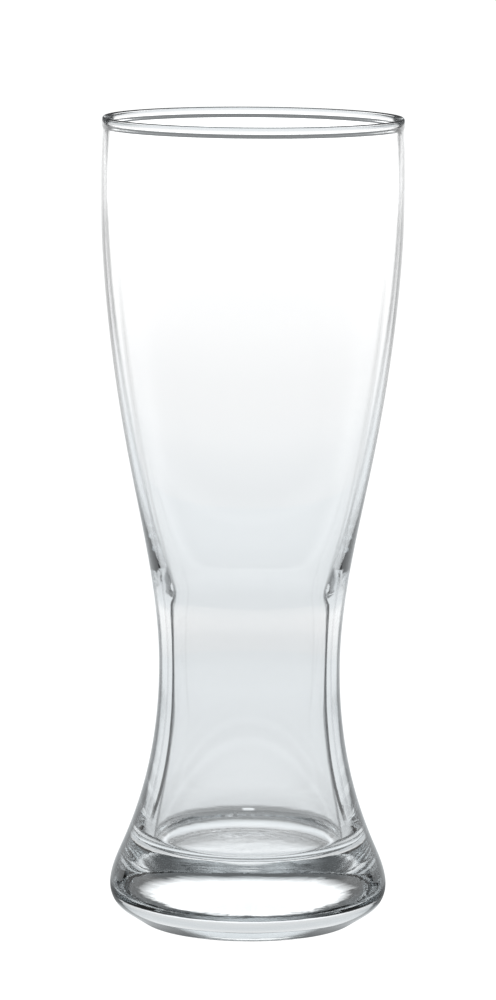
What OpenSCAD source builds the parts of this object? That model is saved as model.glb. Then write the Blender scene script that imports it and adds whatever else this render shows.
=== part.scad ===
// Tall wheat beer glass, a body of revolution about Z that stands on z = 0.
// The one piece of glass is divided at its natural levels: the bead of the rim, the thin bowl,
// the thick waist around the straight well, and the heavy foot under the well's floor.

/* [Overall] */
// Height of the glass, from the table to the top of the rim
glass_h = 235; // [205:1:265]

/* [Rim] */
// Thickness of the fire-polished bead
bead_t = 1.7; // [1.5:0.1:2.4]
// Height of the bead above the plain wall
bead_h = 3.3; // [2.8:0.1:5]
// Wall of the glass under the bead and down to the belly
rim_wall = 1; // [0.8:0.1:1.4]

/* [Bowl] */
// Outer diameter at the belly, the widest level of the bowl
belly_d = 87.8; // [76:0.2:98]
// How far the belly lies under the top of the rim
belly_drop = 17; // [10:1:30]
// How far the wall draws in from the belly to the bead
neck_inset = 0.4; // [0.1:0.1:2]
// Wall at the shoulder, the middle level of the bowl's curve
bowl_wall = 2; // [1.5:0.1:3.2]

/* [Waist] */
// Outer diameter at the narrowest level
waist_d = 52.7; // [46:0.1:60]
// Height of the narrowest level above the table
waist_z = 75; // [66:1:88]
// Wall at the narrowest level
waist_wall = 3.9; // [2.5:0.1:6]
// How far the knee, where the bowl opens out of the well, lies above the narrowest level
knee_rise = 21; // [12:1:32]
// How softly the knee is rounded
knee_round = 1; // [0.4:0.1:3]

/* [Foot] */
// Outer diameter at the widest level of the foot
foot_d = 80.8; // [70:0.2:92]
// Height of the widest level above the table
foot_z = 10.4; // [9.5:0.1:12]
// Radius of the rounding under the widest level
heel_round = 8; // [4:0.1:8.5]
// Outer diameter of the ring that the glass stands on
bearing_d = 62; // [54:0.2:68]
// Width of the ring that the glass stands on
bearing_w = 2; // [1.5:0.1:6]
// Depth of the hollow under the foot
punt_depth = 3.7; // [1:0.1:6]
// Width of the rounding between the flat roof of that hollow and the ring
punt_round = 5.8; // [2:0.1:10]
// Thickness of the glass from the table to the floor of the well
floor_z = 21.2; // [16:0.1:30]
// Radius of the corner between the floor and the wall of the well
floor_corner = 4; // [1.5:0.1:6]
// Wall at the top of that corner
foot_wall = 7.4; // [5:0.1:11]
// Angle by which the well opens towards its floor, in degrees
well_flare = 11; // [4:0.5:16]
// Height over which the well opens towards its floor
well_flare_h = 38; // [20:1:44]

/* [Hidden] */
$fn = 180;
clear_glass = [0.88, 0.93, 0.94, 0.45];
// Steps that each curved stretch of the outline is divided into, finer towards its ends, and each arc
curve_steps = 48;
arc_steps = 12;
// Middle point of the flare between foot and waist: shares of its height and of its narrowing
flare_shares = [0.196, 0.277];
// Middle point of the bowl between waist and belly: shares of its height and of its widening
shoulder_shares = [0.42, 0.507];
// Slope of the bowl's inside at the knee, as a share of the mean slope up to the shoulder
knee_slope_share = 1.28;
// Height of the bead's domed top, as a share of the bead's thickness
bead_dome_share = 1.1;

foot_r = foot_d / 2;
waist_r = waist_d / 2;
belly_r = belly_d / 2;
bearing_r = bearing_d / 2;
punt_r = bearing_r - bearing_w;
well_r = waist_r - waist_wall;
belly_z = glass_h - belly_drop;
neck_z = glass_h - bead_h;
knee_z = waist_z + knee_rise;
shoulder_z = mix(waist_z, belly_z, shoulder_shares[0]);
shoulder_r = mix(waist_r, belly_r, shoulder_shares[1]);
knee_slope = knee_slope_share * (shoulder_r - bowl_wall - well_r) / (shoulder_z - knee_z);
// Ends [z, r, slope] and middle points [z, r] of the outside's curves
foot_end = [foot_z, foot_r, 0];
waist_end = [waist_z, waist_r, 0];
belly_end = [belly_z, belly_r, 0];
flare_mid = [mix(foot_z, waist_z, flare_shares[0]), mix(foot_r, waist_r, flare_shares[1])];
shoulder_mid = [shoulder_z, shoulder_r];
// The same of the inside's curves; the wall of the well begins where the floor's round corner ends
corner_z = floor_z + floor_corner * (1 + sin(well_flare));
corner_end = [corner_z, outer_r(corner_z) - foot_wall, -tan(well_flare)];
well_end = [corner_z + well_flare_h, well_r, 0];
knee_end = [knee_z, well_r, knee_slope];
shoulder_in = [shoulder_z, shoulder_r - bowl_wall];
belly_in = [belly_z, belly_r - rim_wall, 0];

function mix(a, b, t) = a + (b - a) * t;
function levels(z0, z1, n) = [for (i = [0 : n]) mix(z0, z1, i / n)];
function eased_levels(z0, z1, n) = [for (a = levels(0, 180, n)) mix(z0, z1, (1 - cos(a)) / 2)];

// Cubic curve from [z, r, slope] a to [z, r, slope] b
function cubic(a, b, z) =
    let (h = b[0] - a[0], t = (z - a[0]) / h, s = 1 - t)
    s * s * ((1 + 2 * t) * a[1] + t * h * a[2]) + t * t * ((3 - 2 * t) * b[1] - s * h * b[2]);

// Two cubics from a to b through [z, r] m, with the slope at m at which they share one curvature
function smooth_slope(a, m, b) =
    let (h = m[0] - a[0], k = b[0] - m[0])
    (3 * (m[1] - a[1]) / (h * h) + 3 * (b[1] - m[1]) / (k * k) - a[2] / h - b[2] / k) / (2 / h + 2 / k);
function stretch(a, m, b, z) =
    let (mid = [m[0], m[1], smooth_slope(a, m, b)])
    z < m[0] ? cubic(a, mid, z) : cubic(mid, b, z);

// Radius of the outside at height z, from the foot's widest level to the bead
function outer_r(z) =
    z < waist_z ? stretch(foot_end, flare_mid, waist_end, z)
    : z < belly_z ? stretch(waist_end, shoulder_mid, belly_end, z)
    : belly_r - neck_inset * pow((z - belly_z) / (neck_z - belly_z), 2);

// Radius of the inside: the bowl's curve and the well's, rounded into each other at the knee
function bowl_in(z) =
    z < knee_z ? well_r + knee_slope * (z - knee_z)
    : z < belly_z ? stretch(knee_end, shoulder_in, belly_in, z)
    : outer_r(z) - rim_wall;
function well_in(z) =
    z > well_end[0] ? well_r : cubic(corner_end, well_end, z);
function inner_r(z) =
    let (gap = bowl_in(z) - well_in(z))
    (bowl_in(z) + well_in(z) + sqrt(gap * gap + knee_round * knee_round)) / 2;

// Points [r, z] of the outside upwards and of the inside downwards between two levels
function outside(z0, z1) = [for (z = eased_levels(z0, z1, curve_steps)) [outer_r(z), z]];
function inside(z1, z0) = [for (z = eased_levels(z1, z0, curve_steps)) [inner_r(z), z]];
// Points of an arc about [r, z] from one angle to another
function arc(centre, radius, from, to) =
    [for (a = levels(from, to, arc_steps)) centre + radius * [cos(a), sin(a)]];

// The bead swells out of the wall on both sides and is closed by a half ellipse
module rim() {
    outer0 = outer_r(neck_z);
    inner0 = inner_r(neck_z);
    middle = (outer0 + inner0) / 2;
    dome_h = bead_t * bead_dome_share;
    swell_h = bead_h - dome_h;
    dome = [for (a = levels(0, 180, 2 * arc_steps))
        [middle + bead_t / 2 * cos(a), glass_h - dome_h + dome_h * sin(a)]];
    up = [for (t = levels(0, 1, arc_steps)) if (t < 1)
        [mix(outer0, middle + bead_t / 2, t * t * (3 - 2 * t)), neck_z + swell_h * t]];
    down = [for (t = levels(1, 0, arc_steps)) if (t < 1)
        [mix(inner0, middle - bead_t / 2, t * t * (3 - 2 * t)), neck_z + swell_h * t]];
    color(clear_glass) rotate_extrude() polygon(concat(up, dome, down));
}

// The thin shell from the knee to the bead
module bowl() {
    color(clear_glass) rotate_extrude() polygon(concat(outside(knee_z, neck_z), inside(neck_z, knee_z)));
}

// The thick wall around the well, from the floor's corner to the knee
module waist() {
    color(clear_glass) rotate_extrude() polygon(concat(outside(corner_z, knee_z), inside(knee_z, corner_z)));
}

// The heavy foot: hollow underneath, bearing ring, straight heel, round edge, flare, and the well's floor
module foot() {
    edge = [foot_r - heel_round, foot_z];
    reach = edge - [bearing_r, 0];
    heel_slope = atan2(reach[1], reach[0]) - asin(heel_round / norm(reach));
    punt = [for (t = levels(0, 1, arc_steps)) [punt_r - punt_round * (1 - t), punt_depth * (1 - t * t)]];
    heel = arc(edge, heel_round, heel_slope - 90, 0);
    flare = [for (p = outside(foot_z, corner_z)) if (p[1] > foot_z) p];
    corner_middle = [inner_r(corner_z) - floor_corner * cos(well_flare), floor_z + floor_corner];
    corner = arc(corner_middle, floor_corner, well_flare, -90);
    outline = concat([[0, punt_depth]], punt, [[bearing_r, 0]], heel, flare, corner, [[0, floor_z]]);
    color(clear_glass) rotate_extrude() polygon(outline);
}

rim();
bowl();
waist();
foot();
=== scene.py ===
import math

import bmesh
import bpy
import numpy as np
from mathutils import Matrix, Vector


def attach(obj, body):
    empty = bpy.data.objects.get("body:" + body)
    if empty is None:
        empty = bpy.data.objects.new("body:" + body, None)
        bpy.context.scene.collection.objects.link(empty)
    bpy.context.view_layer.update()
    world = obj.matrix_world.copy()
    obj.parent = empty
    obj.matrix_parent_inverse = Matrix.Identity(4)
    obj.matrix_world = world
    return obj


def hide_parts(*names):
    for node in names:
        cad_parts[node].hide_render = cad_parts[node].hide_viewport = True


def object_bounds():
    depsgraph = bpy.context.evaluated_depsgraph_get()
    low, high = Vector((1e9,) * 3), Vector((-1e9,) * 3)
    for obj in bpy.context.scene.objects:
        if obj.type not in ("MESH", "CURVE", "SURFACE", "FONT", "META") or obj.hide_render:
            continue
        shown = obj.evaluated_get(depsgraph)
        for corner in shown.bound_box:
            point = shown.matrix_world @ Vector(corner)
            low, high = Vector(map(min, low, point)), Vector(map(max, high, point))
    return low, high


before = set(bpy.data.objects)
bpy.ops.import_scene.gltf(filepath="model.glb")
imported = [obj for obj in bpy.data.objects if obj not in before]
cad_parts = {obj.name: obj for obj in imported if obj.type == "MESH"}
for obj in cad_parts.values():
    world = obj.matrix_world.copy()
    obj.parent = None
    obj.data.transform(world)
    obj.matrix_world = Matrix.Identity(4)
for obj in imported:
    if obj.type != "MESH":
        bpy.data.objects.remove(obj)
cad_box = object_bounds()

SCENE = bpy.context.scene
GLASS_H = cad_box[1][2]

# Camera of the photograph: its sensor along the image's height, distance and height of the lens in metres,
# pitch and roll in radians, focal length in pixels, and how far right of the image's centre the glass stands
IMAGE_H = 1000
SENSOR = 36.0
CAMERA_BACK = 1.432
CAMERA_UP = 0.3341
CAMERA_PITCH = 0.1458
CAMERA_ROLL = math.radians(0.42)
CAMERA_FOCAL_PX = 4988
CAMERA_FAR = 100
AXIS_OFF_CENTRE_PX = 2.7

# Glass mesh, in metres: columns around, distance under which vertices share a ring, height under which a
# point lies on the table, rounding of sharp corners, and rings added to the roof of the hollow under the foot
SEGMENTS = 216
RING_CELL = 0.00002
ON_TABLE = 0.000001
SHARP_TURN = math.radians(14)
EDGE_CUT = 0.00028
EDGE_CUT_MAX_SHARE = 0.4
EDGE_POINTS = 4
ROOF_RINGS = 22

# Stipples of the bearing ring, one every few columns, and the slight unevenness of the hollow: waves of its
# roof as (radians per metre along x, the same along y, phase), and grain
STIPPLE_EVERY = 3
STIPPLE_DEPTH = 0.00035
ROOF_WAVES = [(910, 340, 0), (-420, 780, 1.3), (1500, -260, 2.1)]
ROOF_WAVE_DEPTH = 0.000012
ROOF_GRAIN = 0.000014
HOLLOW_GRAIN = 0.00005
GRAIN_SEED = 7

# Every curve below is a list of stops (position, value). Heights and distances are in metres, directions in
# degrees to either side from straight behind the glass.

# Glass: refraction, absorption per metre, and painted shade on the skin by height, darker between 0.035 and
# 0.104 m
GLASS_IOR = 1.52
ABSORB_TINT = (0.735, 0.755, 0.765, 1)
ABSORB_DENSITY = 18.0
PAINTED_SKIN_SHADE = [(0, 1), (0.035, 1), (0.06, 0.975), (0.072, 0.98), (0.080, 0.93), (0.088, 0.92), (0.094, 0.97),
           (0.104, 1), (GLASS_H, 1)]

# Painted shade at the edges where the skin is seen at a grazing angle: share by one minus the cosine of that
# angle, strength by height, and by height what is added to the first on the outside, which makes the painted
# edge wider
PAINTED_EDGE_SHADE = (0.02, 0.021, 0.022, 1)
EDGE_SHARE = [(0, 0), (0.74, 0), (0.80, 1), (1, 1)]
EDGE_SHADE_STRENGTH = [(0, 1), (0.088, 1), (0.105, 0.6), (0.150, 0.6), (0.175, 1), (GLASS_H, 1)]
EDGE_WIDEN = [(0, 0.05), (0.028, 0.05), (0.035, 0.12), (0.041, 0.08), (0.053, 0.08), (0.064, 0.05),
              (0.075, 0.03), (0.088, 0.03), (0.10, 0), (0.231, 0), (0.232, 0.10), (GLASS_H, 0.10)]

# Levels at which the middle of the wall is worked out, and the level above which all of the bead is outside
WALL_LEVELS = (0.026, 0.035, 0.047, 0.058, 0.075, 0.088, 0.10, 0.12, 0.15, 0.2, 0.231)
BEAD_Z = 0.2311

# Fine ripples along the skin: density along each axis, detail, depth, and share by height
RIPPLE_SCALE = (60, 60, 700)
RIPPLE_DETAIL = 3.0
RIPPLE_DEPTH = 0.000014
RIPPLE_SHARE = [(0, 1), (0.030, 1), (0.050, 0.2), (GLASS_H, 0.1)]

# Studio: brightness and colours, the floor that the camera sees, and the round room that only the glass sees
WHITE = 1.1
DARK = 0.08
NEUTRAL = (1, 1, 1, 1)
COOL = (0.957, 1.0, 1.025, 1)
FLOOR_HALF = 30.0
ROOM_RADIUS = 0.6
ROOM_SEGMENTS = 96
BOUNCES = 24

# Two dark panels of the room, to the left and to the right: share of white by direction, and where they fade,
# by distance on the table and by height on the wall
PANELS = [(0, 1), (52.0, 1), (53.6, 0), (57.6, 0), (59.5, 0.85), (72, 0.85), (84, 1), (180, 1)]
# Its dip from 0.043 to 0.046 m darkens the panels' directions just outside the foot: a painted shadow of the
# foot
TABLE_PANEL_FADE = [(0, 1), (0.041, 1), (0.043, 0.2), (0.046, 0.2), (0.050, 1), (0.10, 1), (0.16, 0),
                    (ROOM_RADIUS, 0)]
WALL_PANEL_FADE = [(0, 0), (0.044, 0), (0.07, 0.35), (0.10, 0.75), (0.14, 1), (ROOM_RADIUS, 1)]

# Table: brightness by distance with painted shadows under and around the foot, a painted glow of light behind
# the foot and two strips of painted shade, by distance and by direction
TABLE_Z = -0.0002
TABLE_LIGHT_AND_SHADOW = [(0, 0.90), (0.020, 0.90), (0.025, 0.62), (0.0275, 0.28), (0.031, 0.34), (0.034, 1.1),
               (0.039, 1.08), (0.042, 0.75), (0.0445, 0.30), (0.053, 0.26), (0.060, 0.26), (0.072, 0.34),
               (0.082, 0.58), (0.095, 0.71), (0.13, 0.78), (0.2, 0.85), (0.45, 0.88), (ROOM_RADIUS, 0.885)]
TABLE_PAINTED_GLOW = [(0, 0), (0.0535, 0), (0.0545, 1), (0.061, 1), (0.062, 0), (ROOM_RADIUS, 0)]
TABLE_PAINTED_GLOW_ENDS = [(0, 1.1), (1.5, 1.1), (2.6, 0), (180, 0)]
TABLE_SHADE_STRIP = [(0, 0), (0.140, 0), (0.147, 1), (0.168, 1), (0.176, 0), (ROOM_RADIUS, 0)]
TABLE_SHADE_STRIP_ENDS = [(0, 0), (22, 0), (26, 1), (50, 1), (54, 0), (180, 0)]

# Low white cards that hide the strips of painted shade from flat rays
CARD_RADIUS = 0.128
CARD_HEIGHT = 0.0145
CARD_ENDS = (20, 53)
CARD_POINTS = 24
CARD_WHITE = 0.80

# Wall: brightness by height of its white part and of what is above it, the edge between them by direction,
# and the share of the cool tint by height
WALL_WHITE = [(0, 0.90), (0.02, 0.925), (0.036, 0.955), (0.048, 0.995), (0.06, 1.005), (0.075, 1.02),
              (0.10, 1.08), (0.14, 1.12), (0.16, 1.5), (0.2, 1.7), (ROOM_RADIUS, 1.7)]
WALL_ABOVE = [(0, 0.07), (0.15, 0.08), (0.25, 0.17), (0.33, 0.19), (0.40, 0.18), (0.46, 0.35), (0.5, 0.65),
              (0.56, 1.0), (ROOM_RADIUS, 1.1)]
WALL_TOP = [(0, 0.265), (20, 0.25), (40, 0.19), (50, 0.18), (180, 0.20)]
WALL_TOP_SOFT = 0.05
WALL_COOL = [(0, 0.7), (0.03, 0.6), (0.06, 0.25), (0.10, 0.1), (0.24, 0.1), (0.27, 1), (ROOM_RADIUS, 1)]


def ring_finder():
    """Function that gives a vertex the point (r, z) of its ring, the same for all vertices of that ring."""
    found = {}

    def ring(x, y, z):
        r = math.hypot(x, y)
        cell = (int(r / RING_CELL), int(z / RING_CELL))
        for i in (-1, 0, 1):
            for j in (-1, 0, 1):
                near = found.get((cell[0] + i, cell[1] + j))
                if near and math.hypot(near[0] - r, near[1] - z) < RING_CELL:
                    return near
        return found.setdefault(cell, (r, z))

    return ring


def cad_outline(nodes):
    """Points (r, z) of the glass's section, from the axis under the foot, over the rim, to the well's floor.

    A ring of vertices is one point of the section. Two points are neighbours where a mesh edge joins their
    rings. The flat rings on which two nodes meet are left out, because the glass is one piece there."""
    ring = ring_finder()
    owners = {}
    for obj in nodes:
        points = [ring(*v.co) for v in obj.data.vertices]
        for edge in obj.data.edges:
            pair = frozenset(points[v] for v in edge.vertices)
            if len(pair) == 2:
                owners.setdefault(pair, set()).add(obj.name)
    neighbours = {}
    for pair, names in owners.items():
        if len(names) == 1:
            for point in pair:
                neighbours.setdefault(point, set()).update(pair - {point})
    ends = [point for point, near in neighbours.items() if len(near) == 1]
    chain = [min(ends, key=lambda point: point[1])]
    for _ in neighbours:
        ahead = [k for k in neighbours[chain[-1]] if k not in chain]
        if ahead:
            chain.append(min(ahead, key=lambda k: math.dist(k, chain[-1])))
    return np.array([(0, chain[0][1])] + chain + [(0, chain[-1][1])])


def wall_middle(outline):
    """Curve of the radius in the middle of the wall by height, which falls to the axis at the bead."""
    top = outline[:, 1].argmax()
    bearing = np.flatnonzero(outline[:top, 1] < ON_TABLE).max()
    outside = outline[bearing:top + 1]
    inside = outline[top:][::-1]
    radii = [(np.interp(z, outside[:, 1], outside[:, 0]) + np.interp(z, inside[:, 1], inside[:, 0])) / 2
             for z in WALL_LEVELS]
    return [(0, radii[0]), *zip(WALL_LEVELS, radii), (BEAD_Z, 0), (GLASS_H, 0)]


def soften_edges(outline):
    """The outline with each sharp corner replaced by a small round."""
    points = [outline[0]]
    for before, here, after in zip(outline, outline[1:], outline[2:]):
        a = here - before
        b = after - here
        turn = math.acos(np.clip(a @ b / np.linalg.norm(a) / np.linalg.norm(b), -1, 1))
        if turn < SHARP_TURN:
            points.append(here)
            continue
        start = here - a * min(EDGE_CUT / np.linalg.norm(a), EDGE_CUT_MAX_SHARE)
        end = here + b * min(EDGE_CUT / np.linalg.norm(b), EDGE_CUT_MAX_SHARE)
        for t in np.linspace(0, 1, EDGE_POINTS):
            points.append((1 - t) ** 2 * start + 2 * t * (1 - t) * here + t * t * end)
    points.append(outline[-1])
    return np.array(points)


def fill_roof(outline):
    """The outline with rings added on the flat roof of the hollow under the foot."""
    roof = np.linspace(outline[0], outline[1], ROOF_RINGS + 2)[:-1]
    return np.concatenate([roof, outline[1:]])


def foot_relief(outline):
    """Function that gives the offsets of z: stipples in the bearing ring, waves and grain in the hollow."""
    roof_r = outline[1, 0] - RING_CELL
    bearing_r = outline[outline[:, 1] < ON_TABLE, 0].min()

    def relief(rings, x, y):
        dz = np.zeros_like(x)
        under = np.arange(len(rings)) < len(rings) // 2
        bearing = under & (rings[:, 1] < ON_TABLE)
        columns = np.arange(x.shape[1])
        dz[bearing] += np.where(columns % STIPPLE_EVERY == 0, STIPPLE_DEPTH, 0)
        roof = under & (rings[:, 0] < roof_r)
        waves = sum(np.sin(across * x + along * y + phase) for across, along, phase in ROOF_WAVES)
        grain = np.random.default_rng(GRAIN_SEED).uniform(-1, 1, x.shape)
        dz[roof] += ROOF_WAVE_DEPTH * waves[roof] + ROOF_GRAIN * grain[roof]
        hollow = under & ~roof & ~bearing & (rings[:, 0] < bearing_r)
        dz[hollow] += HOLLOW_GRAIN * grain[hollow]
        return dz

    return relief


def lathe(name, section, segments, relief):
    """Closed mesh of a section (r, z) from axis to axis, turned about Z, with a relief added to z."""
    rings = section[1:-1]
    angles = np.arange(segments) * 2 * math.pi / segments
    x = rings[:, :1] * np.cos(angles)
    y = rings[:, :1] * np.sin(angles)
    z = np.repeat(rings[:, 1:], segments, 1)
    z = z + relief(rings, x, y)
    verts = np.stack([x, y, z], -1).reshape(-1, 3)
    verts = np.concatenate([verts, [[0, 0, section[0, 1]], [0, 0, section[-1, 1]]]])
    j = np.arange(segments)
    k = (j + 1) % segments
    start = np.arange(len(rings) - 1)[:, None] * segments
    quads = np.stack([start + j, start + k, start + segments + k, start + segments + j], -1).reshape(-1, 4)
    last = (len(rings) - 1) * segments
    under = np.stack([np.full(segments, len(verts) - 2), k, j], -1)
    over = np.stack([np.full(segments, len(verts) - 1), last + j, last + k], -1)
    mesh = bpy.data.meshes.new(name)
    mesh.from_pydata(verts.tolist(), [], quads.tolist() + under.tolist() + over.tolist())
    mesh.update()
    mesh.shade_smooth()
    obj = bpy.data.objects.new(name, mesh)
    SCENE.collection.objects.link(obj)
    return obj


def math_node(tree, operation, a, b=None):
    """Output of a math node on sockets or numbers."""
    node = tree.nodes.new("ShaderNodeMath")
    node.operation = operation
    for socket, value in zip(node.inputs, (a, b)):
        if hasattr(value, "is_output"):
            tree.links.new(value, socket)
        elif value is not None:
            socket.default_value = value
    return node.outputs["Value"]


def between(tree, low, high, share):
    """Output that lies between two others by a share."""
    span = math_node(tree, "SUBTRACT", high, low)
    return math_node(tree, "ADD", low, math_node(tree, "MULTIPLY", span, share))


def curve(tree, position, stops):
    """Output of a curve through its stops (position, value)."""
    low, high = stops[0][0], stops[-1][0]
    peak = max(value for _, value in stops)
    span = tree.nodes.new("ShaderNodeMapRange")
    span.inputs["From Min"].default_value = low
    span.inputs["From Max"].default_value = high
    tree.links.new(position, span.inputs["Value"])
    ramp = tree.nodes.new("ShaderNodeValToRGB")
    elements = ramp.color_ramp.elements
    # A new element starts half-way and gets its place below
    while len(elements) < len(stops):
        elements.new(0.5)
    for element, (place, value) in zip(elements, stops):
        element.position = (place - low) / (high - low)
        element.color = (value / peak,) * 3 + (1,)
    tree.links.new(span.outputs["Result"], ramp.inputs["Fac"])
    return math_node(tree, "MULTIPLY", ramp.outputs["Color"], peak)


def coordinates(tree):
    """Outputs of a point's height, its distance from the axis, and its direction as the curves take it."""
    coord = tree.nodes.new("ShaderNodeTexCoord")
    axes = tree.nodes.new("ShaderNodeSeparateXYZ")
    tree.links.new(coord.outputs["Object"], axes.inputs[0])
    x, y, z = axes.outputs
    squares = math_node(tree, "ADD", math_node(tree, "MULTIPLY", x, x), math_node(tree, "MULTIPLY", y, y))
    turn = math_node(tree, "DEGREES", math_node(tree, "ABSOLUTE", math_node(tree, "ARCTAN2", x, y)))
    return z, math_node(tree, "SQRT", squares), turn


def tint_mix(tree, share):
    """Mix node for two colours, with its share linked."""
    mix = tree.nodes.new("ShaderNodeMix")
    mix.data_type = "RGBA"
    tree.links.new(share, mix.inputs["Factor"])
    return mix


def shaded_skin_colour(tree, middle):
    """Output of the skin's colour: clear, with painted shade by height and painted shade where the skin is
    seen at a grazing angle.
    """
    height, distance, _ = coordinates(tree)
    view = tree.nodes.new("ShaderNodeLayerWeight")
    # With this blend, Facing is one minus the cosine of the viewing angle
    view.inputs["Blend"].default_value = 0.5
    outside = math_node(tree, "GREATER_THAN", distance, curve(tree, height, middle))
    widen = math_node(tree, "MULTIPLY", outside, curve(tree, height, EDGE_WIDEN))
    grazing = math_node(tree, "ADD", view.outputs["Facing"], widen)
    # Dark painted shade where the skin is seen at a grazing angle, its strength by height
    edge = math_node(tree, "MULTIPLY", curve(tree, grazing, EDGE_SHARE), curve(tree, height, EDGE_SHADE_STRENGTH))
    skin = tint_mix(tree, edge)
    # Painted shade by height, under the painted shade of the edges
    tree.links.new(curve(tree, height, PAINTED_SKIN_SHADE), skin.inputs["A"])
    skin.inputs["B"].default_value = PAINTED_EDGE_SHADE
    return skin.outputs["Result"]


def ripples(tree):
    """Output of the normals of a slightly wavy skin."""
    height, _, _ = coordinates(tree)
    coord = tree.nodes.new("ShaderNodeTexCoord")
    stretch = tree.nodes.new("ShaderNodeVectorMath")
    stretch.operation = "MULTIPLY"
    stretch.inputs[1].default_value = RIPPLE_SCALE
    tree.links.new(coord.outputs["Object"], stretch.inputs[0])
    noise = tree.nodes.new("ShaderNodeTexNoise")
    noise.inputs["Scale"].default_value = 1.0
    noise.inputs["Detail"].default_value = RIPPLE_DETAIL
    tree.links.new(stretch.outputs["Vector"], noise.inputs["Vector"])
    bump = tree.nodes.new("ShaderNodeBump")
    bump.inputs["Distance"].default_value = RIPPLE_DEPTH
    tree.links.new(curve(tree, height, RIPPLE_SHARE), bump.inputs["Strength"])
    tree.links.new(noise.outputs["Fac"], bump.inputs["Height"])
    return bump.outputs["Normal"]


def glass_material(middle):
    """Clear glass that absorbs a little light along its path, with painted shade at its grazing edges and by
    height, and a slightly wavy skin.
    """
    mat = bpy.data.materials.new("clear_glass")
    mat.use_nodes = True
    tree = mat.node_tree
    shader = tree.nodes["Principled BSDF"]
    shader.inputs["Roughness"].default_value = 0.0
    shader.inputs["IOR"].default_value = GLASS_IOR
    shader.inputs["Transmission Weight"].default_value = 1.0
    tree.links.new(shaded_skin_colour(tree, middle), shader.inputs["Base Color"])
    tree.links.new(ripples(tree), shader.inputs["Normal"])
    absorb = tree.nodes.new("ShaderNodeVolumeAbsorption")
    absorb.inputs["Color"].default_value = ABSORB_TINT
    absorb.inputs["Density"].default_value = ABSORB_DENSITY
    tree.links.new(absorb.outputs["Volume"], tree.nodes["Material Output"].inputs["Volume"])
    return mat


def emission(name, strength=1.0, colour=NEUTRAL):
    """Emission material, its node tree and its emission node."""
    mat = bpy.data.materials.new(name)
    mat.use_nodes = True
    tree = mat.node_tree
    tree.nodes.remove(tree.nodes["Principled BSDF"])
    node = tree.nodes.new("ShaderNodeEmission")
    node.inputs["Strength"].default_value = strength
    node.inputs["Color"].default_value = colour
    tree.links.new(node.outputs["Emission"], tree.nodes["Material Output"].inputs["Surface"])
    mat.cycles.emission_sampling = "NONE"
    return mat, tree, node


def table_material():
    """White table with painted shadows and painted light at the glass's foot, two strips of painted shade,
    and the dark panels further out.
    """
    mat, tree, node = emission("table", colour=COOL)
    _, distance, turn = coordinates(tree)
    panels = math_node(tree, "MAXIMUM", curve(tree, turn, PANELS), curve(tree, distance, TABLE_PANEL_FADE))
    # Two strips of painted shade on the table, to the left and to the right behind the glass
    strip_ends = curve(tree, turn, TABLE_SHADE_STRIP_ENDS)
    strip = math_node(tree, "MULTIPLY", curve(tree, distance, TABLE_SHADE_STRIP), strip_ends)
    share = math_node(tree, "MULTIPLY", panels, math_node(tree, "SUBTRACT", 1.0, strip))
    # Painted glow of caustic light on the table just behind the foot
    painted_glow = math_node(tree, "MULTIPLY", curve(tree, distance, TABLE_PAINTED_GLOW), curve(tree, turn, TABLE_PAINTED_GLOW_ENDS))
    # The brightness by distance holds the painted shadows under and around the foot
    white = math_node(tree, "MAXIMUM", curve(tree, distance, TABLE_LIGHT_AND_SHADOW), painted_glow)
    dark = math_node(tree, "MINIMUM", white, DARK)
    tree.links.new(between(tree, dark, white, share), node.inputs["Strength"])
    return mat


def wall_material():
    """White wall with the dark panels, a grey band above it and the light of the ceiling."""
    mat, tree, node = emission("wall")
    height, _, turn = coordinates(tree)
    depth = math_node(tree, "SUBTRACT", curve(tree, turn, WALL_TOP), height)
    under = math_node(tree, "ADD", math_node(tree, "DIVIDE", depth, WALL_TOP_SOFT), 0.5)
    under.node.use_clamp = True
    panels = math_node(tree, "MAXIMUM", curve(tree, turn, PANELS), curve(tree, height, WALL_PANEL_FADE))
    share = math_node(tree, "MULTIPLY", panels, under)
    strength = between(tree, curve(tree, height, WALL_ABOVE), curve(tree, height, WALL_WHITE), share)
    tree.links.new(strength, node.inputs["Strength"])
    tint = tint_mix(tree, curve(tree, height, WALL_COOL))
    tint.inputs["A"].default_value = NEUTRAL
    tint.inputs["B"].default_value = COOL
    tree.links.new(tint.outputs["Result"], node.inputs["Color"])
    return mat


def square(name, half, z):
    """Mesh of a level square about the axis."""
    corners = [(-half, -half, z), (half, -half, z), (half, half, z), (-half, half, z)]
    mesh = bpy.data.meshes.new(name)
    mesh.from_pydata(corners, [], [(0, 1, 2, 3)])
    return mesh


def sphere(name, radius):
    """Mesh of a sphere about the origin."""
    mesh = bpy.data.meshes.new(name)
    bm = bmesh.new()
    bmesh.ops.create_uvsphere(bm, u_segments=ROOM_SEGMENTS, v_segments=ROOM_SEGMENTS // 2, radius=radius)
    bm.to_mesh(mesh)
    bm.free()
    return mesh


def cards(name):
    """Mesh of two low upright cards behind the glass, to the left and to the right."""
    verts = []
    faces = []
    for side in (-1, 1):
        start = len(verts)
        for turn in np.radians(np.linspace(*CARD_ENDS, CARD_POINTS)):
            x = side * CARD_RADIUS * math.sin(turn)
            y = CARD_RADIUS * math.cos(turn)
            verts += [(x, y, TABLE_Z), (x, y, CARD_HEIGHT)]
        faces += [(i, i + 1, i + 3, i + 2) for i in range(start, len(verts) - 2, 2)]
    mesh = bpy.data.meshes.new(name)
    mesh.from_pydata(verts, [], faces)
    return mesh


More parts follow.
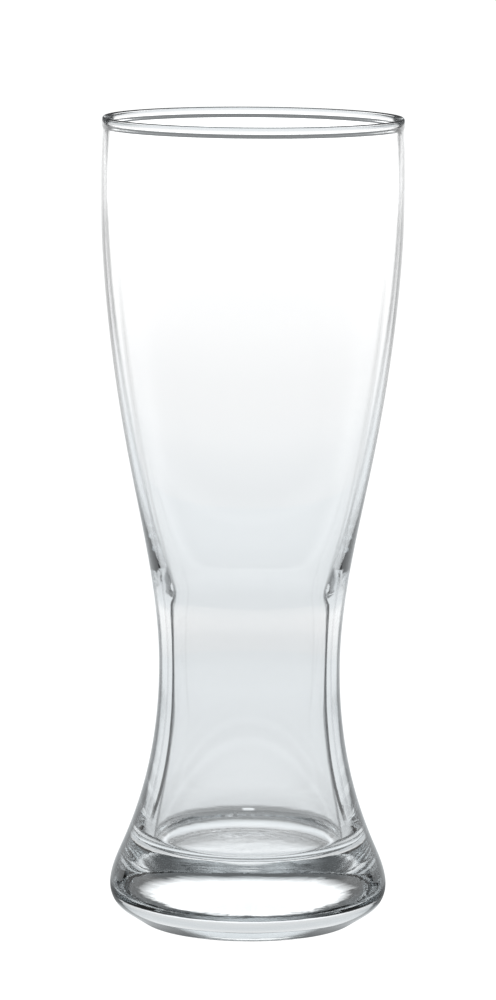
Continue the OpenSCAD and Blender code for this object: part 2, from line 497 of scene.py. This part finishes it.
def staged(name, mesh, mat, camera_sees):
    """Adds a stage object that either only the camera sees, or only the rays that leave the glass."""
    mesh.materials.append(mat)
    obj = bpy.data.objects.new(name, mesh)
    SCENE.collection.objects.link(obj)
    obj.visible_camera = camera_sees
    obj.visible_transmission = not camera_sees
    obj.visible_glossy = not camera_sees
    obj.visible_diffuse = False
    obj.visible_shadow = False


def photo_camera():
    """Camera that stands and looks as the photograph's did."""
    data = bpy.data.cameras.new("camera")
    data.sensor_width = SENSOR
    data.lens = CAMERA_FOCAL_PX * SENSOR / IMAGE_H
    data.clip_end = CAMERA_FAR
    camera = bpy.data.objects.new("camera", data)
    SCENE.collection.objects.link(camera)
    off = AXIS_OFF_CENTRE_PX * CAMERA_BACK / CAMERA_FOCAL_PX
    look = Matrix.Rotation(math.pi / 2 - CAMERA_PITCH, 4, "X") @ Matrix.Rotation(CAMERA_ROLL, 4, "Z")
    camera.matrix_world = Matrix.Translation((-off, -CAMERA_BACK, CAMERA_UP)) @ look
    return camera


# Glass
outline = cad_outline(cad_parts.values())
glass = lathe("weizen_glass", fill_roof(soften_edges(outline)), SEGMENTS, foot_relief(outline))
glass.data.materials.append(glass_material(wall_middle(outline)))
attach(glass, "root")
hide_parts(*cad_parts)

# Camera
SCENE.camera = photo_camera()

# Floor for the camera, and the room for the glass
staged("floor", square("floor", FLOOR_HALF, 0), emission("floor", WHITE)[0], camera_sees=True)
staged("cards", cards("cards"), emission("cards", CARD_WHITE, COOL)[0], camera_sees=False)
staged("table", square("table", ROOM_RADIUS, TABLE_Z), table_material(), camera_sees=False)
staged("wall", sphere("wall", ROOM_RADIUS), wall_material(), camera_sees=False)

# White world, plain colours, and enough bounces for light inside the thick foot
world = bpy.data.worlds.new("studio")
SCENE.world = world
world.use_nodes = True
background = world.node_tree.nodes["Background"]
background.inputs["Color"].default_value = NEUTRAL
background.inputs["Strength"].default_value = WHITE
SCENE.view_settings.view_transform = "Standard"
SCENE.cycles.max_bounces = BOUNCES
SCENE.cycles.transmission_bounces = BOUNCES
SCENE.cycles.glossy_bounces = BOUNCES
